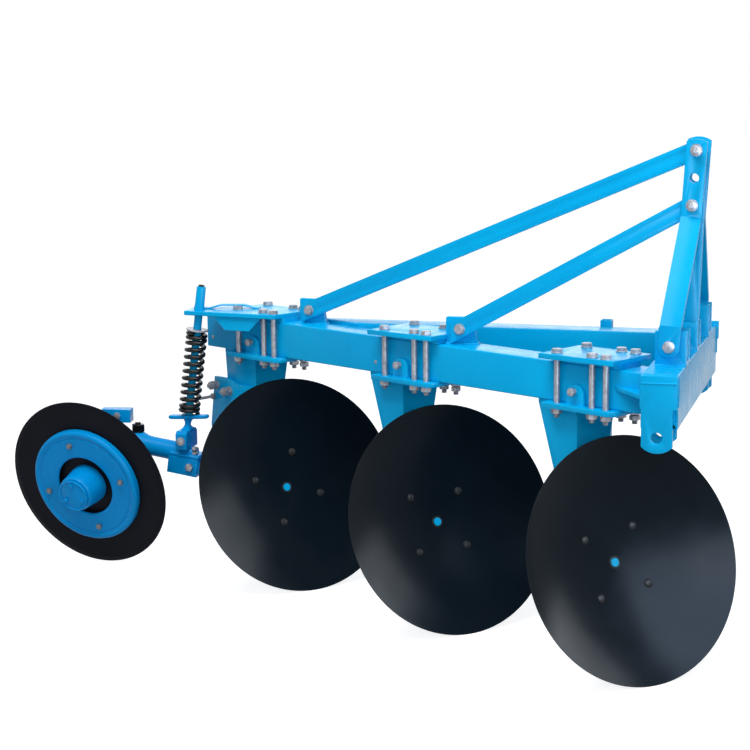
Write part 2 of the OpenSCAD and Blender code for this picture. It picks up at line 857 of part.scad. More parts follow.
module wheel_hub() {
  color(blue) on_wheel() difference() {
    union() {
      rotate_extrude()
        polygon([[0, -60], [hub_r, -60], [hub_r, 10], [hub_r - 8, 82], [hub_r - 12, 88], [0, 88]]);
      translate([0, 0, -wheel_t / 2 - 14]) cylinder(r = 110, h = 14);
      translate([0, 0, 87]) cylinder(r = hub_r - 18, h = 9);
    }
    translate([0, 0, -61]) cylinder(d = axle_d + 2 * spindle_gap, h = 126);
  }
}

main_beam();
cross_beam();
brace_beam();
corner_gusset();
lower_link_right();
lower_link_left();
link_lug_right();
link_lug_left();
mast_foot_right();
mast_foot_left();
mast_foot_mid();
mast_leg_right();
mast_leg_left();
mast_strut();
mast_bolts();
stay_long();
stay_short();
stay_brackets();
stay_bolts();
clamp_plate_front();
clamp_plate_mid();
clamp_plate_rear();
clamp_bolts_front();
clamp_bolts_mid();
clamp_bolts_rear();
disc_leg_front();
disc_leg_mid();
disc_leg_rear();
housing_front();
housing_mid();
housing_rear();
disc_front();
disc_mid();
disc_rear();
disc_hub_front();
disc_hub_mid();
disc_hub_rear();
stand_socket();
stand_leg();
wheel_bracket();
wheel_arm();
arm_bolts();
wheel_axle();
scraper_box();
spring_rod();
spring_washer();
spring();
spring_seat();
wheel_disc();
wheel_flange();
wheel_hub();
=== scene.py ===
import json
import math
import random
import bpy
import bmesh
from mathutils import Matrix, Vector


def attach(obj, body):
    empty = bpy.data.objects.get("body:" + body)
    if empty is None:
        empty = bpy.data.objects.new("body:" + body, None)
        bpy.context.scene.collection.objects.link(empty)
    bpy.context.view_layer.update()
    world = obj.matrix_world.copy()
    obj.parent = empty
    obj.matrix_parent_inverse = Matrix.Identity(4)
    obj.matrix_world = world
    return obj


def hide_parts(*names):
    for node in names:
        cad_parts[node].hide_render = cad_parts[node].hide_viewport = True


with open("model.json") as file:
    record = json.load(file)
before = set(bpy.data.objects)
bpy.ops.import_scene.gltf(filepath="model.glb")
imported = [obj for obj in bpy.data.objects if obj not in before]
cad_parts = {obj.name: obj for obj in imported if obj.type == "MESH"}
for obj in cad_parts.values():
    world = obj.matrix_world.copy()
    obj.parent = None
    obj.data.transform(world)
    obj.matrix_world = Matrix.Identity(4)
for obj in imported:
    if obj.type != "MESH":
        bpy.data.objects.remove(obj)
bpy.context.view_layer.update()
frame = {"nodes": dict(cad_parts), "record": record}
nodes = frame["nodes"]
record = frame["record"]
scene = bpy.context.scene
scene.view_settings.view_transform = "Standard"
chance = random.Random(7)
node_slot = {part["node"]: part["material_slot"] for part in record["subparts"]}
node_body = {node: body for body, members in record["behaviour"]["bodies"].items() for node in members}

# Sizes in millimetres and angles in degrees, as the solids have them.
# Places count from the ground under the middle of the front disc: X forward, Y left, Z up.

# Discs
DISC_NAMES = ("front", "mid", "rear")
DISC_R = 330.0
DISC_DEPTH = 90.0
DISC_PITCH = 641.0
DISC_ANGLE = 45.2
DISC_TILT = 18.2
DISC_BOLT_CIRCLE = 112.0
DISC_BOLT_PHASES = (51.8, 45.3, 73.5)
HUB_BACK = -116.0
RIM_LIP = 1.5
DISH_R = (DISC_R ** 2 + DISC_DEPTH ** 2) / (2 * DISC_DEPTH)
DISH_Z = DISH_R - DISC_DEPTH
DISC_Z = DISC_R * math.cos(math.radians(DISC_TILT)) + RIM_LIP * math.sin(math.radians(DISC_TILT))

# Main beam and leg clamps
BEAM_ANGLE = 28.2
BEAM_TOP = 809.0
BEAM_LOW = BEAM_TOP - 108.0
BEAM_W = 100.0
BEAM_OFF = 7.0
PAD_T = 13.0
CLAMP_T = 14.0
FLANGE_T = 14.0
PLATE_TOP = BEAM_TOP + PAD_T + CLAMP_T
LEG_TOP = BEAM_LOW - FLANGE_T
LEG_HALF = 40.0
LEG_REAR = (-340.0, -340.0, -350.0)
BOLT_D = 16.0
BOLT_HEX = 26.0
BOLT_X = (-94.0, -140.0, -258.0)
BOLT_Y = 63.5
EAR_X = -198.5
EAR_FACE = -62.0

# Cross beam, brace beam and hitch
CROSS_X = 117.0
CROSS_BACK = CROSS_X - 95.0
CROSS_TOP = 821.0
CROSS_LOW = CROSS_TOP - 140.0
CROSS_Y0 = -93.0
CROSS_Y1 = CROSS_Y0 + 909.0
BRACE_Y0 = 623.0
BRACE_Y1 = BRACE_Y0 + 90.0
BRACE_MIDDLE = 775.0
BRACE_RISE = 11.0
LINK_T = 12.0
LINK_GAP = 76.0
MAST_X = 103.0
MAST_Y = (CROSS_Y0 + CROSS_Y1) / 2
MAST_HALF = 35.0
FOOT_X = 73.0
FOOT_Z = CROSS_TOP + 50.0
TOP_Z = 1363.0
LOW_Z = 1215.0
MAST_LEAN = math.atan((MAST_X - FOOT_X) / (TOP_Z - FOOT_Z))
STRUT_FOOT = Vector((83, 345.5, 864))
STAYS = (((-1099, 657, BEAM_TOP + 42), TOP_Z), ((-556, MAST_Y + 2, BEAM_TOP + 44), LOW_Z))

# Furrow wheel, its arm and its spring
WHEEL_R = 281.0
WHEEL_LEAN = 13.6
WHEEL_ANGLE = 98.6
WHEEL_Z = WHEEL_R * math.cos(math.radians(WHEEL_LEAN)) + RIM_LIP * math.sin(math.radians(WHEEL_LEAN))
ARM_Y = 685.0
ARM_FRONT = Vector((-1500, ARM_Y, 369))
ARM_REAR = Vector((-1708, ARM_Y, 399.5))
ARM_BLOCK = Vector((-1534, ARM_Y, 338))
PIVOT = Vector((-1440, ARM_Y, 330))
ROD_LOW = Vector((-1531, ARM_Y, 421))
ROD_TOP = Vector((-1466, ARM_Y, 912))
ROD_L = (ROD_TOP - ROD_LOW).length
ROD_LEAN = math.atan((ROD_TOP.x - ROD_LOW.x) / (ROD_TOP.z - ROD_LOW.z))
SPRING_LOW = 78.5
SPRING_TOP = 352.0


# Frames
def turn(x, y, z):
    rx, ry, rz = (math.radians(angle) for angle in (x, y, z))
    return Matrix.Rotation(rz, 4, "Z") @ Matrix.Rotation(ry, 4, "Y") @ Matrix.Rotation(rx, 4, "X")


def shift(x, y, z=0.0):
    return Matrix.Translation((x, y, z))


# NEAR faces -Y, so its Z comes toward the viewer of the right side.
# PLACE brings the plough's own places into the shared frame, whose origin is under the middle of its box.
NEAR = turn(90, 0, 0)
PLACE = shift(939.0357, -328.8283)
BEAM = PLACE @ turn(0, 0, -BEAM_ANGLE)
WHEEL = PLACE @ shift(-1845, 621.4, WHEEL_Z) @ turn(0, 90 + WHEEL_LEAN, -WHEEL_ANGLE)
ROD = PLACE @ Matrix.Translation(ROD_LOW) @ Matrix.Rotation(ROD_LEAN, 4, "Y")


def on_clamp(k):
    """Frame of a leg clamp: X along the main beam, Y from its middle, Z from the ground."""
    return BEAM @ shift(-k * DISC_PITCH, BEAM_OFF + BEAM_W / 2)


def on_disc(k):
    """Frame of a disc: Z out of its hollow face, its rim plane at zero."""
    return BEAM @ shift(-k * DISC_PITCH, 0, DISC_Z) @ turn(0, 90 - DISC_TILT, BEAM_ANGLE - DISC_ANGLE)


def mast_at(z):
    """Point on the leaning mast bars, as far along them as z is above their feet."""
    along = z - FOOT_Z
    return Vector((FOOT_X + along * math.sin(MAST_LEAN), MAST_Y, FOOT_Z + along * math.cos(MAST_LEAN)))


def beam_y(off, x):
    """Where the upright plane along the main beam, off to the left of the discs, crosses x."""
    angle = math.radians(BEAM_ANGLE)
    return (off - x * math.sin(angle)) / math.cos(angle)


def beam_x(off, y):
    """Where that plane crosses y."""
    angle = math.radians(BEAM_ANGLE)
    return (off - y * math.cos(angle)) / math.sin(angle)


# Node trees
class Graph:
    """Node tree of a material or of the world."""

    def __init__(self, owner, output="ShaderNodeOutputMaterial"):
        owner.use_nodes = True
        self.owner = owner
        self.tree = owner.node_tree
        self.tree.nodes.clear()
        self.out = self.add(output)

    def add(self, kind, **props):
        node = self.tree.nodes.new(kind)
        for key, value in props.items():
            setattr(node, key, value)
        return node

    def link(self, source, target):
        self.tree.links.new(source, target)

    def put(self, socket, value):
        """Links an output to a socket, or sets a constant on it."""
        if hasattr(value, "is_output"):
            self.link(value, socket)
        else:
            socket.default_value = value

    def noise(self, scale, detail):
        """Noise in object space, its scale per metre."""
        node = self.add("ShaderNodeTexNoise")
        node.inputs["Scale"].default_value = scale
        node.inputs["Detail"].default_value = detail
        node.inputs["Roughness"].default_value = 0.55
        self.link(self.add("ShaderNodeTexCoord").outputs["Object"], node.inputs["Vector"])
        return node.outputs["Fac"]

    def ramp(self, fac, low, high, start=0.3, end=0.7):
        """One tone up to the start of the factor's range, another from its end."""
        node = self.add("ShaderNodeValToRGB")
        for stop, place, tone in zip(node.color_ramp.elements, (start, end), (low, high)):
            stop.position = place
            stop.color = (*tone, 1.0)
        self.link(fac, node.inputs["Fac"])
        return node.outputs["Color"]

    def span(self, fac, low, high, start=0.3, end=0.7):
        """Number that goes from low to high as the factor goes from start to end."""
        node = self.add("ShaderNodeMapRange")
        for key, value in zip(("From Min", "From Max", "To Min", "To Max"), (start, end, low, high)):
            node.inputs[key].default_value = value
        self.link(fac, node.inputs["Value"])
        return node.outputs["Result"]

    def mix(self, fac, first, second):
        node = self.add("ShaderNodeMix", data_type="RGBA")
        self.put(node.inputs[0], fac)
        for index, tone in ((6, first), (7, second)):
            self.put(node.inputs[index], tone if hasattr(tone, "is_output") else (*tone, 1.0))
        return node.outputs[2]

    def calc(self, operation, first, second):
        node = self.add("ShaderNodeMath", operation=operation)
        self.put(node.inputs[0], first)
        self.put(node.inputs[1], second)
        return node.outputs[0]

    def soft_edges(self, radius):
        node = self.add("ShaderNodeBevel", samples=6)
        node.inputs["Radius"].default_value = radius
        return node.outputs["Normal"]

    def edge_mask(self, radius):
        """1 along sharp edges, 0 on flat faces."""
        dot = self.add("ShaderNodeVectorMath", operation="DOT_PRODUCT")
        self.link(self.soft_edges(radius), dot.inputs[0])
        self.link(self.add("ShaderNodeNewGeometry").outputs["Normal"], dot.inputs[1])
        return self.span(dot.outputs["Value"], 1.0, 0.0, 0.72, 0.985)

    def bump(self, height, strength, distance, normal):
        node = self.add("ShaderNodeBump")
        node.inputs["Strength"].default_value = strength
        node.inputs["Distance"].default_value = distance
        self.link(height, node.inputs["Height"])
        self.link(normal, node.inputs["Normal"])
        return node.outputs["Normal"]

    def shade(self, tone, rough, normal, spec, metallic=0.0):
        shader = self.add("ShaderNodeBsdfPrincipled")
        self.put(shader.inputs["Base Color"], tone)
        self.put(shader.inputs["Roughness"], rough)
        shader.inputs["Metallic"].default_value = metallic
        shader.inputs["Specular IOR Level"].default_value = spec
        self.link(normal, shader.inputs["Normal"])
        self.link(shader.outputs["BSDF"], self.out.inputs["Surface"])
        return self.owner

    def seen(self):
        """1 for what the camera, mirrors and glass see, 0 for lighting rays."""
        path = self.add("ShaderNodeLightPath").outputs
        direct = self.calc("MAXIMUM", path["Is Camera Ray"], path["Is Glossy Ray"])
        return self.calc("MAXIMUM", direct, path["Is Transmission Ray"])


# Materials
def blue_paint(name, low, high):
    """Gloss enamel with broad unevenness, fine specks, paler edges that are partly worn paint and partly
    painted edge highlight, and a slight orange peel.
    """
    g = Graph(bpy.data.materials.new(name))
    speck_tone = (0.01, 0.20, 0.46)
    pale_edge_tone = (0.04, 0.55, 0.86)
    tone = g.ramp(g.noise(2.6, 3.0), low, high)
    specks = g.span(g.noise(240.0, 2.0), 0.0, 0.10, 0.62, 0.75)
    tone = g.mix(specks, tone, speck_tone)
    # Paler edges: partly worn paint, partly a painted edge highlight.
    patches = g.span(g.noise(38.0, 5.0), 0.0, 0.65, 0.47, 0.62)
    tone = g.mix(g.calc("MULTIPLY", g.edge_mask(0.003), patches), tone, pale_edge_tone)
    rough = g.span(g.noise(16.0, 4.0), 0.22, 0.34)
    normal = g.bump(g.noise(300.0, 2.0), 0.06, 0.0005, g.soft_edges(0.0014))
    return g.shade(tone, rough, normal, spec=0.085)


def black_paint(name, low, high, rough, spec, pale_edge_tone=(0.05, 0.052, 0.058)):
    """Black coat with slow changes of tone and gloss, its edges rubbed to a lighter tone."""
    g = Graph(bpy.data.materials.new(name))
    tone = g.ramp(g.noise(5.0, 4.0), low, high, end=0.72)
    patches = g.span(g.noise(60.0, 5.0), 0.0, 0.6, 0.45, 0.62)
    tone = g.mix(g.calc("MULTIPLY", g.edge_mask(0.002), patches), tone, pale_edge_tone)
    normal = g.bump(g.noise(300.0, 3.0), 0.10, 0.0005, g.soft_edges(0.0012))
    return g.shade(tone, g.span(g.noise(12.0, 5.0), *rough), normal, spec)


def zinc_steel(name, low, high):
    """Zinc plating with a fine spangle."""
    g = Graph(bpy.data.materials.new(name))
    tone = g.ramp(g.noise(90.0, 4.0), low, high)
    rough = g.span(g.noise(140.0, 3.0), 0.26, 0.44)
    normal = g.bump(g.noise(500.0, 2.0), 0.12, 0.0004, g.soft_edges(0.0006))
    return g.shade(tone, rough, normal, spec=0.3, metallic=0.35)


BLUE = blue_paint("blue_paint", (0.0, 0.355, 0.700), (0.0, 0.415, 0.765))
# Darker copy of the same blue for the wheel and the parts round it: painted shade.
SHADED_BLUE = blue_paint("shaded_blue_paint", (0.0, 0.245, 0.610), (0.0, 0.285, 0.675))
DISC_BLACK = black_paint("disc_steel", (0.0026, 0.0066, 0.0112), (0.0040, 0.0090, 0.0145),
                         rough=(0.19, 0.27), spec=0.05)
BOLT_BLACK = black_paint("disc_bolt_steel", (0.014, 0.016, 0.018), (0.030, 0.032, 0.034),
                         rough=(0.36, 0.5), spec=0.10)
WHEEL_BLACK = black_paint("wheel_steel", (0.0036, 0.0042, 0.0074), (0.0058, 0.0066, 0.0105),
                          rough=(0.40, 0.52), spec=0.05)
SPRING_BLACK = black_paint("spring_steel", (0.0038, 0.0038, 0.0044), (0.0062, 0.0062, 0.0070),
                           rough=(0.16, 0.24), spec=0.25, pale_edge_tone=(0.016, 0.016, 0.017))
ZINC = zinc_steel("zinc_steel", (0.23, 0.23, 0.25), (0.40, 0.41, 0.44))
# Darker copy of the zinc for the bolts of the wheel: painted shade.
SHADED_ZINC = zinc_steel("shaded_zinc_steel", (0.11, 0.12, 0.13), (0.22, 0.23, 0.24))

FINISH = {
    "blue_paint": BLUE,
    "disc_steel": DISC_BLACK,
    "wheel_steel": WHEEL_BLACK,
    "spring_steel": SPRING_BLACK,
    "zinc_steel": ZINC,
}
# Parts that get the darker blue copy, as painted shade.
SHADED_BLUE_NODES = ("wheel_flange", "wheel_hub", "wheel_axle", "wheel_arm", "scraper_box")


def node_finish(name):
    return SHADED_BLUE if name in SHADED_BLUE_NODES else FINISH[node_slot[name]]


# Meshes
def crease(mesh, degrees):
    """Smooth shading that breaks at edges sharper than this."""
    bm = bmesh.new()
    bm.from_mesh(mesh)
    for face in bm.faces:
        face.smooth = True
    for edge in bm.edges:
        edge.smooth = len(edge.link_faces) == 2 and edge.calc_face_angle(0.0) < math.radians(degrees)
    bm.to_mesh(mesh)
    bm.free()


def dress(mesh, name, body, material, replaces):
    """Makes a mesh a piece that rides on a body."""
    mesh.materials.clear()
    mesh.materials.append(material)
    piece = bpy.data.objects.new(name, mesh)
    scene.collection.objects.link(piece)
    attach(piece, body)
    if replaces:
        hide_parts(*replaces)


class Shape:
    """A mesh under construction, in millimetres."""

    def __init__(self):
        self.bm = bmesh.new()

    def ring(self, at, points):
        return [self.bm.verts.new(at @ Vector(point)) for point in points]

    def bridge(self, a, b):
        """Faces between two rings of as many points, or between a ring and one point."""
        count = max(len(a), len(b))
        for i in range(count):
            j = (i + 1) % count
            corners = []
            for vert in (a[i % len(a)], a[j % len(a)], b[j % len(b)], b[i % len(b)]):
                if vert not in corners:
                    corners.append(vert)
            self.bm.faces.new(corners)

    def loft(self, rows, capped=False):
        for a, b in zip(rows, rows[1:]):
            self.bridge(a, b)
        if capped:
            self.bm.faces.new(rows[0])
            self.bm.faces.new(rows[-1])

    def lathe(self, at, profile, n, closed=False, warp=None):
        """Turns a profile of (radius, height) pairs; warp(radius, height, angle) may move a point."""
        rows = []
        for r, z in profile:
            if r < 1e-6:
                rows.append(self.ring(at, [(0, 0, z)]))
                continue
            row = []
            for i in range(n):
                angle = 2 * math.pi * i / n
                q, h = warp(r, z, angle) if warp else (r, z)
                row.append((q * math.cos(angle), q * math.sin(angle), h))
            rows.append(self.ring(at, row))
        self.loft(rows)
        if closed:
            self.bridge(rows[-1], rows[0])

    def prism(self, at, outline, z0, z1, chamfer=0.0):
        """Plate of a convex outline between two heights, its rims chamfered."""
        corners = [Vector(point) for point in outline]
        middle = sum(corners, Vector((0, 0))) / len(corners)

        def inset(depth):
            points = []
            for i, corner in enumerate(corners):
                before = (corner - corners[i - 1]).normalized()
                after = (corners[(i + 1) % len(corners)] - corner).normalized()
                side_a = Vector((-before.y, before.x))
                side_b = Vector((-after.y, after.x))
                if side_a.dot(middle - corner) < 0:
                    side_a, side_b = -side_a, -side_b
                reach = depth / max(0.2, 1 + side_a.dot(side_b))
                points.append(corner + (side_a + side_b) * reach)
            return points

        edge, rim = inset(0), inset(chamfer)
        levels = [(edge, z0 + chamfer), (edge, z1 - chamfer)]
        if chamfer:
            levels = [(rim, z0), *levels, (rim, z1)]
        self.loft([self.ring(at, [(p.x, p.y, z) for p in points]) for points, z in levels], capped=True)

    def tube(self, at, points, radius, n):
        """Round bar along points; radius is a function of the point's index."""
        up = Vector((0.0123, 0.0071, 1.0))
        rows = []
        for i, point in enumerate(points):
            along = (points[min(i + 1, len(points) - 1)] - points[max(i - 1, 0)]).normalized()
            side = along.cross(up)
            if side.length < 0.2:
                side = along.cross(Vector((1, 0, 0)))
            side.normalize()
            other = side.cross(along)
            angles = (2 * math.pi * j / n for j in range(n))
            spokes = [math.cos(angle) * side + math.sin(angle) * other for angle in angles]
            r = radius(i)
            rows.append(self.ring(at, [point + r * spoke for spoke in spokes]))
        self.loft(rows)
        for row, point in ((rows[0], points[0]), (rows[-1], points[-1])):
            self.bridge(row, self.ring(at, [point]))

    def hex(self, at, across, z0, z1, both=False):
        """Hexagon head or nut whose corners are turned off at the top, and below for a nut."""
        flat = across / 2
        rim = flat * 0.97

        def corner(r, z, angle):
            if r < flat * 0.99:
                return r, z
            q = flat / math.cos((angle % (math.pi / 3)) - math.pi / 6)
            cut = (q - rim) * 0.55
            if z > (z0 + z1) / 2:
                return q, z1 - cut
            return q, z0 + (cut if both else 0.0)

        low = [(0, z0), (rim, z0)] if both else [(0, z0)]
        self.lathe(at, low + [(flat, z0), (flat, z1), (rim, z1), (0, z1)], 36, warp=corner)

    def washer(self, at, bore, outer, z0, z1):
        cut = 0.5
        rim = [(outer - cut, z0), (outer, z0 + cut), (outer, z1 - cut), (outer - cut, z1)]
        self.lathe(at, [(bore, z0), *rim, (bore, z1)], 28, closed=True)

    def thread(self, at, d, z0, z1, pitch=2.5):
        """Threaded bar between two heights."""
        crest = d / 2
        root = crest - 0.11 * d
        count = max(1, int((z1 - z0) / pitch))
        profile = [(0, z0), (root, z0)]
        for i in range(count):
            z = z0 + (z1 - z0) * (i + 0.5) / count
            profile += [(crest, z), (root, z + (z1 - z0) / count / 2)]
        self.lathe(at, profile + [(root, z1), (0, z1)], 20)

    def bolt(self, at, d, across, grip, tail, near_nut=False, collar=None, lock=False):
        """Bolt with Z out of its near end, seats and washers at 0 and -grip, and a tail past its nut."""
        washer_t, head_t, nut_t = 0.16 * d, 0.54 * d, 0.8 * d
        collar = collar or across * 0.62
        low = -grip - washer_t
        far = at @ shift(0, 0, low) @ turn(180, 0, 0)
        self.washer(at, d / 2 + 0.4, collar, 0, washer_t)
        self.washer(at, d / 2 + 0.4, collar, low, -grip)
        if near_nut:
            nut, nut_z = at, washer_t
            self.hex(far, across, 0, head_t)
        else:
            nut, nut_z = far, 0.0
            self.hex(at, across, washer_t, washer_t + head_t)
        self.hex(nut, across, nut_z, nut_z + nut_t, both=True)
        self.thread(nut, d, nut_z + 0.6 * d, nut_z + nut_t + tail)
        if lock:
            self.hex(nut @ turn(0, 0, 23), across, nut_z + 0.95 * d, nut_z + 1.75 * d, both=True)
        self.lathe(at, [(0, low), (d / 2, low), (d / 2, washer_t), (0, washer_t)], 24)

    def weld(self, at, points, size):
        """Fillet weld along a line of points: a rippled bead."""
        step = 4.5
        path = []
        for a, b in zip(points, points[1:]):
            a, b = Vector(a), Vector(b)
            count = max(2, int((b - a).length / step * 2))
            path += [a.lerp(b, i / count) for i in range(count)]
        path.append(Vector(points[-1]))
        sway = [chance.uniform(0.92, 1.08) for _ in path]
        self.tube(at, path, lambda i: size * (0.86 + 0.16 * (i % 2)) * sway[i], 8)

    def done(self, name, body, slot, material=None, replaces=(), angle=32.0):
        bmesh.ops.transform(self.bm, matrix=Matrix.Scale(0.001, 4), verts=self.bm.verts)
        bmesh.ops.recalc_face_normals(self.bm, faces=self.bm.faces)
        mesh = bpy.data.meshes.new(name)
        self.bm.to_mesh(mesh)
        self.bm.free()
        crease(mesh, angle)
        dress(mesh, name, body, material or FINISH[slot], replaces)


# Plates, beams and castings with their edges rounded
ROUNDED = {
    6.0: ("main_beam", "cross_beam", "brace_beam"),
    2.2: ("lower_link_right", "lower_link_left", "mast_leg_right", "mast_leg_left", "stay_long",
          "stay_short", "clamp_plate_front", "clamp_plate_mid", "disc_leg_front", "disc_leg_mid",
          "disc_leg_rear", "wheel_arm", "wheel_bracket", "mast_strut"),
    1.4: ("link_lug_right", "link_lug_left", "mast_foot_right", "mast_foot_left", "mast_foot_mid",
          "stand_socket", "stand_leg", "scraper_box", "housing_front", "housing_mid", "housing_rear",
          "wheel_hub", "wheel_axle"),
}


def rounded(name, radius):
    """Copy of a node with its edges rounded to a radius in millimetres."""
    bm = bmesh.new()
    bm.from_mesh(nodes[name].data)
    bmesh.ops.remove_doubles(bm, verts=bm.verts, dist=2e-6)
    bmesh.ops.dissolve_limit(bm, angle_limit=math.radians(0.6), verts=bm.verts, edges=bm.edges)
    raw = bpy.data.meshes.new(name + "_raw")
    bm.to_mesh(raw)
    bm.free()
    for face in raw.polygons:
        face.use_smooth = True
    work = bpy.data.objects.new(name + "_raw", raw)
    scene.collection.objects.link(work)
    bevel = work.modifiers.new("round", "BEVEL")
    bevel.width = radius / 1000
    bevel.segments = 3 if radius > 5 else 2
    bevel.limit_method = "ANGLE"
    bevel.angle_limit = math.radians(38)
    bevel.harden_normals = True
    bevel.use_clamp_overlap = True
    bpy.context.view_layer.update()
    mesh = bpy.data.meshes.new_from_object(work.evaluated_get(bpy.context.evaluated_depsgraph_get()))
    bpy.data.objects.remove(work)
    if name == "brace_beam":
        raise_brace(mesh)
    dress(mesh, name + "_rounded", node_body[name], node_finish(name), (name,))


def raise_brace(mesh):
    """Brings the top of the brace beam almost level with the cross beam."""
    for vert in mesh.vertices:
        if vert.co.z > BRACE_MIDDLE / 1000:
            vert.co.z += BRACE_RISE / 1000


# Bolts of the frame
def clamp_bolts(k):
    """Six bolts through a clamp; those on the left have longer tails and lock nuts."""
    shape = Shape()
    for x in BOLT_X:
        for side, tail in ((-1, 10), (1, 26)):
            at = on_clamp(k) @ shift(x, side * BOLT_Y, PLATE_TOP) @ turn(0, 0, chance.uniform(0, 60))
            shape.bolt(at, BOLT_D, BOLT_HEX, PLATE_TOP - LEG_TOP, tail, lock=side > 0)
    name = DISC_NAMES[k]
    shape.done("clamp_bolt_set_" + name, "frame", "zinc_steel", replaces=("clamp_bolts_" + name,))


def mast_bolts():
    """Two bolts through the mast, their nuts toward the right side, and one through each foot."""
    foot_hex, foot_collar, foot_off, strut_off = 27, 15.8, 306, 38
    shape = Shape()
    for z in (TOP_Z, LOW_Z):
        at = PLACE @ Matrix.Translation(mast_at(z) + Vector((0, -MAST_HALF, 0))) @ NEAR
        shape.bolt(at, BOLT_D, BOLT_HEX, 2 * MAST_HALF, tail=8, near_nut=True, collar=16.5)
    right = PLACE @ shift(FOOT_X, MAST_Y - foot_off, FOOT_Z) @ NEAR
    left = PLACE @ shift(FOOT_X, MAST_Y + foot_off, FOOT_Z) @ turn(-90, 0, 0)
    middle = PLACE @ Matrix.Translation(STRUT_FOOT) @ shift(0, -strut_off) @ NEAR
    for at, grip in ((right, 82), (left, 82), (middle, 2 * strut_off)):
        shape.bolt(at, BOLT_D, foot_hex, grip, tail=7, collar=foot_collar)
    shape.done("mast_bolt_set", "frame", "zinc_steel", replaces=("mast_bolts",))


def stay_ends():
    """Lugs of the two stays on the main beam, with their bolts and welds."""
    back, front, near, far = -44, 49, 8, 22
    bolts, lugs, beads = Shape(), Shape(), Shape()
    for eye, mast_z in STAYS:
        top = mast_at(mast_z)
        yaw = math.degrees(math.atan2(top.y - eye[1], top.x - eye[0]))
        at = PLACE @ shift(*eye) @ turn(0, 0, yaw)
        base = BEAM_TOP - eye[2]
        bolts.bolt(at @ shift(0, -near) @ NEAR, BOLT_D, across=24, grip=near + far, tail=7, collar=15.5)
        outline = [(back, base), (back, 29), (-40, 33), (16, 33), (38, 20), (front, base)]
        lugs.prism(at @ NEAR, outline, -far, -near, 1.4)
        corners = ((back - 1, near - 1), (front + 1, near - 1), (front + 1, far + 1), (back - 1, far + 1))
        seam = [(x, y, base) for x, y in corners]
        beads.weld(at, seam + seam[:1], 5.0)
    bolts.done("stay_bolt_set", "frame", "zinc_steel", replaces=("stay_bolts",))
    lugs.done("stay_lugs", "frame", "blue_paint", replaces=("stay_brackets",))
    beads.done("stay_lug_welds", "frame", "blue_paint", angle=70)


def arm_bolts():
    """Pivot bolt of the wheel arm and bolt of the yoke."""
    shape = Shape()
    pivot = PLACE @ Matrix.Translation(PIVOT + Vector((0, -34, 0))) @ NEAR
    shape.bolt(pivot, d=18, across=27, grip=159, tail=7)
    yoke = PLACE @ Matrix.Translation(ROD_LOW + Vector((0, -47, 0))) @ NEAR
    shape.bolt(yoke, d=15, across=22, grip=94, tail=5, collar=13.4)
    shape.done("arm_bolt_set", "frame", "zinc_steel", replaces=("arm_bolts",))


# Spring of the furrow wheel
def coil_spring():
    """Coil of round wire whose last turns at each end lie close."""
    wire_r, mean_r = 6.7, 28.0
    closed_turns, closed_pitch, open_turns = 1.75, 13.7, 9.25
    step = 1 / 28
    turns = 2 * closed_turns + open_turns
    height = SPRING_TOP - SPRING_LOW - 2 * wire_r
    open_pitch = (height - 2 * closed_turns * closed_pitch) / open_turns
    low = SPRING_LOW + wire_r
    points = []
    z = low
    for i in range(int(turns / step) + 1):
        t = i * step
        angle = 2 * math.pi * t
        points.append(Vector((mean_r * math.cos(angle), mean_r * math.sin(angle), z)))
        ease = min(1.0, max(0.0, min(t - closed_turns, turns - closed_turns - t) * 3.0 + 0.5))
        z += step * (closed_pitch + (open_pitch - closed_pitch) * ease)
    stretch = height / (points[-1].z - points[0].z)
    for point in points:
        point.z = low + (point.z - low) * stretch
    shape = Shape()
    shape.tube(ROD, points, lambda i: wire_r, 12)
    shape.done("coil_spring", "frame", "spring_steel", replaces=("spring",), angle=60)


def spring_rod():
    """Rod through the spring, thicker above it, with a black cap, and the washer on top of the spring."""
    shape = Shape()
    rod_r, neck_r, top = 12.6, 17, ROD_L - 2
    shape.lathe(ROD, [(0, 80), (rod_r, 80), (rod_r, 412), (neck_r, 418), (neck_r, 424), (15, 436),
                      (14.4, top - 3), (13.2, top - 0.5), (10.5, top), (0, top)], 36)
    shape.done("spring_guide_rod", "frame", "blue_paint", replaces=("spring_rod",))
    shape = Shape()
    cap_r, low = 9.6, ROD_L - 3
    shape.lathe(ROD, [(0, low), (cap_r, low), (cap_r, low + 4.5), (8, low + 6), (4, low + 6.8),
                      (0, low + 7)], 28)
    shape.done("spring_rod_cap", "frame", "spring_steel")
    shape = Shape()
    bore, outer, high = 13.2, 35, SPRING_TOP + 5
    rim = [(outer - 1, SPRING_TOP), (outer, SPRING_TOP + 1), (outer, high - 1), (outer - 1, high)]
    shape.lathe(ROD, [(bore, SPRING_TOP), *rim, (bore, high)], 40, closed=True)
    shape.done("spring_top_washer", "frame", "zinc_steel", replaces=("spring_washer",))


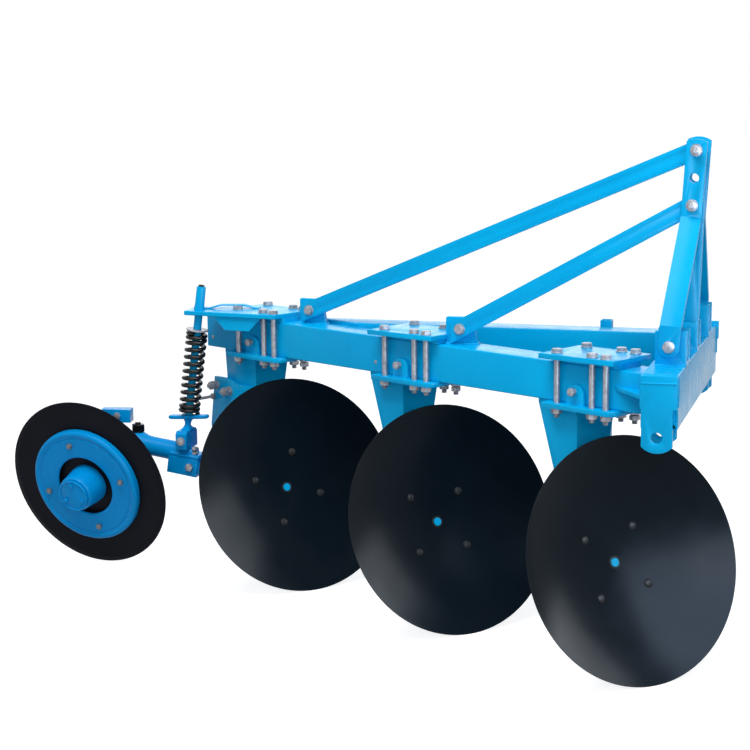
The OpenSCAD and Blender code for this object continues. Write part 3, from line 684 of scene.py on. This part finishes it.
def spring_yoke():
    """Block on the yoke bolt, a waist above it, and the cross piece and seat that the spring stands on."""
    shape = Shape()
    at = PLACE @ Matrix.Translation(ROD_LOW)
    half = 47
    block = [(-half, -26), (-44, -29), (44, -29), (half, -26),
             (half, 22), (38, 31), (-38, 31), (-half, 22)]
    shape.prism(at @ turn(90, 0, 90), block, -19, 19, 2.2)
    # Sections of the waist: height, half length, half width, and power of the rounded square
    waist = ((30.5, 17, 34, 5.0), (34, 15.5, 26, 4.0), (38.5, 13, 17, 3.0), (42, 11.2, 12, 2.2),
             (45, 10.2, 10.4, 2.0), (53, 10.2, 10.2, 2.0), (60, 13, 13, 2.0), (67, 18, 15, 2.0))
    slope, ahead, count = 0.132, 4, 32
    rows = []
    for h, long, wide, power in waist:
        ring = []
        for i in range(count):
            angle = 2 * math.pi * i / count
            c, s = math.cos(angle), math.sin(angle)
            reach = (abs(c) ** power + abs(s) ** power) ** (-1 / power)
            ring.append((long * reach * c + (h - 31) * slope + ahead, wide * reach * s, h))
        rows.append(shape.ring(at, ring))
    shape.loft(rows, capped=True)
    side = [(-66, 8), (-56, 14), (-30, 16), (30, 16), (56, 14), (66, 8)]
    bar = [(x, -y) for x, y in side] + side[::-1]
    shape.prism(at @ shift(10, 0, 71.5) @ turn(0, -3, 0), bar, -6, 6, 3.0)
    shape.lathe(ROD, [(0, 66), (16, 66), (22, 72), (23, 73), (23, SPRING_LOW - 1), (22, SPRING_LOW),
                      (0, SPRING_LOW)], 40)
    # The darker blue here is painted shade.
    shape.done("spring_yoke", "frame", "blue_paint", SHADED_BLUE, replaces=("spring_seat",))


# Bolts of the discs and the furrow wheel
def disc_bolts(k):
    """Round heads in the hollow face, a dark ring round the hole in its middle as painted shadow round the
    hole, and nuts behind the hub.
    """
    at = on_disc(k)
    phase = DISC_BOLT_PHASES[k]
    seat_z = DISH_Z - math.sqrt(DISH_R ** 2 - DISC_BOLT_CIRCLE ** 2)
    slope = math.degrees(math.asin(DISC_BOLT_CIRCLE / DISH_R))
    dome = [(0, -2), (11.5, -2), (12, 0.2), (11.2, 1.8), (9, 3.6), (5.4, 5.0), (0, 5.6)]
    heads, nuts = Shape(), Shape()
    for i in range(4):
        spoke = phase + 90 * i
        seat = at @ turn(0, 0, spoke) @ shift(DISC_BOLT_CIRCLE, 0, seat_z)
        heads.lathe(seat @ turn(0, -slope, 0), dome, 28)
        x = DISC_BOLT_CIRCLE * math.cos(math.radians(spoke))
        y = DISC_BOLT_CIRCLE * math.sin(math.radians(spoke))
        back = at @ shift(x, y, HUB_BACK) @ turn(180, 0, phase)
        nuts.washer(back, 6.5, 13, 0, 2)
        nuts.hex(back, 19, 2, 13, both=True)
        nuts.thread(back, 12, 10, 20, 1.75)
    # Dark ring round the centre hole: painted shadow round the hole.
    bore, outer, vertex = 13.2, 17, DISH_Z - DISH_R
    ring = [(bore, vertex - 1), (outer, vertex - 1), (outer, vertex + 0.4),
            (15.6, vertex + 1.2), (bore, vertex + 0.6)]
    heads.lathe(at, ring, 40, closed=True)
    name = DISC_NAMES[k]
    unit = "disc_%s_unit" % name
    heads.done("disc_bolt_heads_and_shade_ring_" + name, unit, "disc_steel", BOLT_BLACK, angle=50)
    nuts.done("disc_bolt_nuts_" + name, unit, "zinc_steel")


def wheel_bolts():
    """Flange bolts of the furrow wheel, and the screws and collar on its hub cap."""
    flange_z, flange_circle, cap_z, cap_circle = 26, 143, 95.5, 35
    shape = Shape()
    for i in range(4):
        spoke = WHEEL @ turn(0, 0, 11.6 + 90 * i)
        at = spoke @ shift(flange_circle, 0, flange_z) @ turn(0, 0, 17 * i)
        shape.hex(at, 17, 0, 8)
        shape.lathe(at, [(0, 7), (5.2, 7), (5.2, 10), (4.6, 10.8), (0, 10.8)], 20)
    # The darker zinc here is painted shade.
    shape.done("wheel_bolt_set", "furrow_wheel", "zinc_steel", SHADED_ZINC)
    shape = Shape()
    for i in range(3):
        spoke = WHEEL @ turn(0, 0, 62 + 120 * i)
        shape.hex(spoke @ shift(cap_circle, 0, cap_z) @ turn(0, 0, 20 * i), 14, 0, 5.5)
    collar = [(46, 92), (52, 92), (52, 97.4), (50.8, 98.6), (47.2, 98.6), (46, 97.4)]
    shape.lathe(WHEEL, collar, 64, closed=True)
    # The darker blue here is painted shade.
    shape.done("hub_cap_screws", "furrow_wheel", "blue_paint", SHADED_BLUE)


# Screws of the legs and the wheel arm
def set_screw(k):
    """Screw in the ear of a leg."""
    shape = Shape()
    at = on_clamp(k) @ shift(EAR_X, EAR_FACE, BEAM_LOW + 37) @ NEAR
    shape.hex(at, 20, 8, 20)
    shape.thread(at, 13, -11, 10, 2.0)
    shape.done("set_screw_" + DISC_NAMES[k], "frame", "zinc_steel")


def wheel_arm_screws():
    """Adjusting screws of the wheel bracket, and the screws of the arm's block and the scraper."""
    shape = Shape()
    bracket_face = -52
    adjusters, stop_screw = ((-384, 579), (-321, 566)), (-398, 540)
    side_screw, top_screw, scraper_screw = (-1510, 651, 336), (-1497, 668, 371), (-1766, 680, 485)
    bracket = on_clamp(2) @ shift(0, bracket_face) @ NEAR
    for place in adjusters:
        at = bracket @ shift(*place)
        shape.washer(at, 7, 15, 0, 2.5)
        shape.hex(at, 25, 2.5, 13, both=True)
        shape.hex(at @ turn(0, 0, 25), 25, 16, 27, both=True)
        shape.thread(at, 14, 8, 36, 2.0)
    stop = bracket @ shift(*stop_screw)
    shape.hex(stop, 19, 0, 8, both=True)
    shape.thread(stop, 10, -10, 61, 1.5)
    shape.hex(PLACE @ shift(*side_screw) @ NEAR, 22, 0, 9)
    top = PLACE @ shift(*top_screw)
    shape.thread(top, 12, -6, 20, 1.75)
    shape.hex(top, 19, 4, 12, both=True)
    shape.hex(top, 18, 18, 28)
    shape.hex(PLACE @ shift(*scraper_screw) @ turn(0, 0, 10) @ NEAR, 20, 0, 8)
    shape.done("wheel_arm_screws", "frame", "zinc_steel")


def crank_nut():
    """Black nut on the threaded end of the wheel's crank."""
    shape = Shape()
    at = PLACE @ shift(-1696, 684, 436)
    shape.hex(at, 38, 0, 24, both=True)
    shape.thread(at, 20, -6, 31)
    shape.done("crank_nut", "frame", "spring_steel")


def arm_sleeve():
    """Sleeve with a flared end over the wheel arm, and a cap on the arm's block."""
    shape = Shape()
    along = ARM_REAR - ARM_FRONT
    axis = PLACE @ Matrix.Translation(ARM_FRONT) @ Matrix.Rotation(math.atan2(along.x, along.z), 4, "Y")
    bore, outer, flare = 25.5, 31, 41
    shape.lathe(axis, [(bore, 44), (outer - 2, 44), (outer, 46), (outer, 158), (33, 170), (38, 184),
                       (flare, 196), (flare, 204), (flare - 2, 207), (bore, 207)], 48, closed=True)
    pitch = math.degrees(math.atan2(along.z, -along.x))
    block = PLACE @ Matrix.Translation(ARM_BLOCK) @ turn(0, pitch, 0)
    shape.prism(block, [(-50, -34), (50, -34), (50, 34), (-50, 34)], 27, 41, 4.0)
    # The darker blue here is painted shade.
    shape.done("wheel_arm_sleeve", "frame", "blue_paint", SHADED_BLUE)


# Plates of the frame
def leg_heads():
    """Heads of the legs behind their flanges."""
    shape = Shape()
    front = -295
    for k, rear in enumerate(LEG_REAR):
        outline = [(rear, -LEG_HALF), (front, -LEG_HALF), (front, LEG_HALF), (rear, LEG_HALF)]
        shape.prism(on_clamp(k), outline, LEG_TOP + 2, BEAM_LOW + 0.5)
    shape.done("leg_heads", "frame", "blue_paint")


def corner_plate():
    """Plate between the main beam and the right end of the cross beam."""
    shape = Shape()
    tip, low, high = (-65, 42.8), 755, 767
    outline = [(CROSS_BACK, CROSS_Y0 + LINK_T), (CROSS_BACK, beam_y(BEAM_OFF, CROSS_BACK)), tip]
    shape.prism(PLACE, outline, low, high, 1.5)
    shape.done("corner_plate", "frame", "blue_paint", replaces=("corner_gusset",))


def rear_clamp_plate():
    """Rear clamp plate that reaches back to the spring rod, the packing under it, and its rib."""
    shape = Shape()
    at = on_clamp(2)
    low = PLATE_TOP - CLAMP_T
    front = Vector((-72, -80.5))
    tail = Vector((-361.4, -197.3))
    plate = [front, (-72, 83.5), (-292, 76.5), (-300, 10), (-401.4, -131.3), tail]
    packing = [(-285, -48), (-65, -48), (-65, 48), (-285, 48)]
    shape.prism(at, plate, low, PLATE_TOP, 2.0)
    shape.prism(at, packing, BEAM_TOP, low + 0.5)
    near = tail - front
    edge = at @ shift(front.x, front.y, low) @ turn(0, 0, math.degrees(math.atan2(near.y, near.x)))
    rib_start, rib_in, rib_h = 52, -10, 43
    rib = [(0, 0.5), (40, -rib_h), (125, -rib_h), (165, 0.5)]
    shape.prism(edge @ shift(rib_start, rib_in) @ NEAR, rib, 0, 8, 1.5)
    shape.done("rear_clamp_plate", "frame", "blue_paint", replaces=("clamp_plate_rear",))


def end_caps():
    """Caps in the ends of the cross beam, and plugs in the main beam."""
    shape = Shape()
    cap_t = 4
    outline = [(CROSS_BACK + 7, CROSS_LOW + 7), (CROSS_X - 7, CROSS_LOW + 7),
               (CROSS_X - 7, CROSS_TOP - 7), (CROSS_BACK + 7, CROSS_TOP - 7)]
    for y in (CROSS_Y0 + LINK_T + 1, CROSS_Y1 - LINK_T - cap_t - 1):
        shape.prism(PLACE @ shift(0, y + cap_t) @ NEAR, outline, 0, cap_t, 0.8)
    shape.done("cross_beam_caps", "frame", "blue_paint")
    shape = Shape()
    dome = [(0, -2), (5.4, -2), (5.4, 1.2), (4.4, 2.4), (2.4, 3.2), (0, 3.4)]
    for k, x, z in ((2, -396, 733), (1, -308, 732)):
        shape.lathe(on_clamp(k) @ shift(x, -BEAM_W / 2, z) @ NEAR, dome, 24)
    shape.done("beam_plugs", "frame", "zinc_steel")


def rear_plate_strap():
    """Strap on the rear clamp plate, its middle bent up from both ends."""
    shape = Shape()
    start, end = Vector((-350, -121, PLATE_TOP)), Vector((-216, -7, PLATE_TOP))
    half_w, thick, rise, count = 13, 4.5, 10.0, 16
    along = (end - start).normalized()
    across = Vector((-along.y, along.x, 0)) * half_w
    up = Vector((0, 0, 1))
    rows = []
    for i in range(count + 1):
        t = i / count
        lift = rise * min(1.0, max(0.0, min(t, 1 - t) * 5.5 - 0.55)) + 0.2
        low = start.lerp(end, t) + up * lift
        high = low + up * thick
        corners = [low - across, low + across, high + across * 0.94, high - across * 0.94]
        rows.append(shape.ring(on_clamp(2), corners))
    shape.loft(rows, capped=True)
    shape.done("rear_plate_strap", "frame", "blue_paint", angle=40)


# Weld beads
def cross_beam_welds(shape):
    """Ends of the cross beam against the link plates, and the inner lugs under it."""
    low, corner = 740, 6
    lug_back, lug_front = 28, 104
    for y in (CROSS_Y0 + LINK_T, CROSS_Y1 - LINK_T):
        shape.weld(PLACE, [(CROSS_BACK + corner, y, CROSS_TOP), (CROSS_X - corner, y, CROSS_TOP)], 3.2)
        for x in (CROSS_X, CROSS_BACK):
            shape.weld(PLACE, [(x, y, low), (x, y, CROSS_TOP - corner)], 3.2)
    for face, thick in ((CROSS_Y0 + LINK_T + LINK_GAP, LINK_T), (CROSS_Y1 - LINK_T - LINK_GAP, -LINK_T)):
        for y in (face, face + thick):
            shape.weld(PLACE, [(lug_back, y, CROSS_LOW), (lug_front, y, CROSS_LOW)], 3.6)


def beam_welds(shape):
    """Main beam against the cross beam."""
    sides = [beam_y(off, CROSS_BACK) for off in (BEAM_OFF, BEAM_OFF + BEAM_W)]
    for y in sides:
        shape.weld(PLACE, [(CROSS_BACK, y, BEAM_LOW + 5), (CROSS_BACK, y, BEAM_TOP - 5)], 4.2)
    shape.weld(PLACE, [(CROSS_BACK, y, BEAM_TOP) for y in sides], 4.2)


def brace_welds(shape):
    """Brace beam against the cross beam and against the main beam."""
    top = BEAM_TOP + BRACE_RISE - 1
    low, high = BEAM_TOP - 96, BEAM_TOP - 4
    shape.weld(PLACE, [(CROSS_BACK, BRACE_Y0 + 3, top), (CROSS_BACK, BRACE_Y1 - 3, top)], 4.0)
    for y in (BRACE_Y0, BRACE_Y1):
        shape.weld(PLACE, [(CROSS_BACK, y, low), (CROSS_BACK, y, high)], 4.0)
    ends = [(beam_x(BEAM_OFF + BEAM_W, y), y) for y in (BRACE_Y0, BRACE_Y1)]
    for up in (1, 6):
        shape.weld(PLACE, [(x, y, BEAM_TOP + up) for x, y in ends], 5.0)
    shape.weld(PLACE, [(*ends[0], low), (*ends[0], high)], 4.0)


def foot_welds(shape):
    """Feet of the mast on the cross beam."""
    back, front = 36, 118
    right, left, middle = (67.5, 137.5), (585.5, 655.5), (307.5, 383.5)
    for y in right + left + middle:
        shape.weld(PLACE, [(back, y, CROSS_TOP), (front, y, CROSS_TOP)], 3.4)


def frame_welds():
    """All beads of the frame, and the seam on the right end plate."""
    shape = Shape()
    seam_back, seam_front, seam_z = 24, 115, 801
    for add_beads in (cross_beam_welds, beam_welds, brace_welds, foot_welds):
        add_beads(shape)
    shape.weld(PLACE, [(seam_back, CROSS_Y0, seam_z), (seam_front, CROSS_Y0, seam_z)], 2.2)
    shape.done("frame_welds", "frame", "blue_paint", angle=70)


def leg_weld(k):
    """Bead round the head of a leg under its flange, and one at the foot of its ear."""
    shape = Shape()
    at = on_clamp(k)
    rear = -294
    corners = ((-208, -LEG_HALF), (rear, -LEG_HALF), (rear, LEG_HALF), (-142, LEG_HALF))
    ring = [(x, y, LEG_TOP) for x, y in corners]
    shape.weld(at, ring + ring[:1], 4.5)
    shape.weld(at, [(EAR_X - 27.5, EAR_FACE, BEAM_LOW), (EAR_X + 27.5, EAR_FACE, BEAM_LOW)], 3.2)
    shape.done("leg_weld_" + DISC_NAMES[k], "frame", "blue_paint", angle=70)


# Floor, light and camera, in metres
def floor():
    """Pale floor that takes the shadow and is seen as white."""
    bpy.ops.mesh.primitive_plane_add(size=80, location=(0, 0, 0))
    plane = bpy.context.object
    plane.name = "floor"
    g = Graph(bpy.data.materials.new("floor_white"))
    paint = g.add("ShaderNodeBsdfDiffuse")
    g.link(g.ramp(g.noise(0.5, 2.0), (0.49, 0.49, 0.49), (0.51, 0.51, 0.51)), paint.inputs["Color"])
    glow = g.add("ShaderNodeEmission")
    glow.inputs["Color"].default_value = (1, 1, 1, 1)
    g.link(g.span(g.seen(), 0.0, 0.84, 0.0, 1.0), glow.inputs["Strength"])
    both = g.add("ShaderNodeAddShader")
    g.link(paint.outputs["BSDF"], both.inputs[0])
    g.link(glow.outputs["Emission"], both.inputs[1])
    g.link(both.outputs["Shader"], g.out.inputs["Surface"])
    plane.data.materials.append(g.owner)


def sky():
    """White where it is seen, and a weaker cool light on the plough."""
    world = bpy.data.worlds.new("studio")
    scene.world = world
    g = Graph(world, "ShaderNodeOutputWorld")
    background = g.add("ShaderNodeBackground")
    g.link(g.mix(g.seen(), (0.88, 0.96, 1.06), (1, 1, 1)), background.inputs["Color"])
    g.link(g.span(g.seen(), 0.38, 1.0, 0.0, 1.0), background.inputs["Strength"])
    g.link(background.outputs["Background"], g.out.inputs["Surface"])


def panel(name, aim, azimuth, elevation, distance, size, power):
    """Rectangular lamp that faces what it is aimed at."""
    az, el = math.radians(azimuth), math.radians(elevation)
    away = Vector((math.cos(az) * math.cos(el), math.sin(az) * math.cos(el), math.sin(el))) * distance
    data = bpy.data.lights.new(name, "AREA")
    data.shape = "RECTANGLE"
    data.size, data.size_y = size
    data.energy = power
    lamp = bpy.data.objects.new(name, data)
    scene.collection.objects.link(lamp)
    lamp.location = aim + away
    lamp.rotation_euler = (-away).to_track_quat("-Z", "Y").to_euler()
    return lamp


def soft_lamp(name, azimuth, elevation, distance, size, level):
    """Lamp whose level is the share of white that it adds to a face turned to it."""
    aim = Vector((0.45, -0.1, 0.5))
    panel(name, aim, azimuth, elevation, distance, size, level * math.pi ** 2 * distance ** 2)


def card(name, aim, azimuth, elevation, distance, spread, radiance, tint):
    """Panel that only glossy faces show, spread over so many degrees as seen from its aim."""
    wide, high = (2 * distance * math.tan(math.radians(angle / 2)) for angle in spread)
    power = radiance * math.pi * wide * high
    lamp = panel(name, aim, azimuth, elevation, distance, (wide, high), power)
    lamp.data.color = tint
    lamp.visible_diffuse = False
    lamp.visible_camera = False


def lights():
    front_disc, mid_disc = ((on_disc(k) @ Vector()) * 0.001 for k in (0, 1))
    beam_middle = Vector((0.3, 0.1, 0.8))
    soft_lamp("key", -110, 68, 4.2, (2.8, 2.2), 0.86)
    soft_lamp("fill", -62, 20, 4.6, (3.0, 2.0), 0.31)
    card("right_card", front_disc, -40, 38, 1.25, (58, 44), 16.5, (0.64, 0.79, 1.0))
    card("left_card", mid_disc, 38, 24, 4.5, (36, 30), 8.4, (0.86, 0.92, 1.0))
    card("back_card", beam_middle, 107, 13, 6.0, (64, 22), 1.4, (0.92, 0.97, 1.0))


def camera():
    """Camera of the photograph: to the right of the plough, a little ahead of it, and looking down on it."""
    turned, dip, roll = math.radians(16.40), math.radians(10.0), math.radians(-0.59)
    place = Vector((1.62674, -5.05043, 1.64470))
    ahead = Vector((-math.sin(turned) * math.cos(dip), math.cos(turned) * math.cos(dip), -math.sin(dip)))
    level = Vector((math.cos(turned), math.sin(turned), 0))
    upright = level.cross(ahead)
    right = math.cos(roll) * level + math.sin(roll) * upright
    up = -math.sin(roll) * level + math.cos(roll) * upright
    data = bpy.data.cameras.new("camera")
    data.sensor_width = 36.0
    data.lens = 89.55
    viewer = bpy.data.objects.new("camera", data)
    scene.collection.objects.link(viewer)
    viewer.matrix_world = Matrix.Translation(place) @ Matrix((right, up, -ahead)).transposed().to_4x4()
    scene.camera = viewer


# The whole scene; clamp bolts and welds draw from chance in this order
for name, node in nodes.items():
    node.data.materials.clear()
    node.data.materials.append(node_finish(name))
for radius, names in ROUNDED.items():
    for name in names:
        rounded(name, radius)
for k in range(3):
    clamp_bolts(k)
mast_bolts()
stay_ends()
arm_bolts()
coil_spring()
spring_rod()
spring_yoke()
for k in range(3):
    disc_bolts(k)
wheel_bolts()
for k in range(3):
    set_screw(k)
wheel_arm_screws()
crank_nut()
arm_sleeve()
leg_heads()
corner_plate()
rear_clamp_plate()
end_caps()
rear_plate_strap()
frame_welds()
for k in range(3):
    leg_weld(k)
floor()
sky()
lights()
camera()
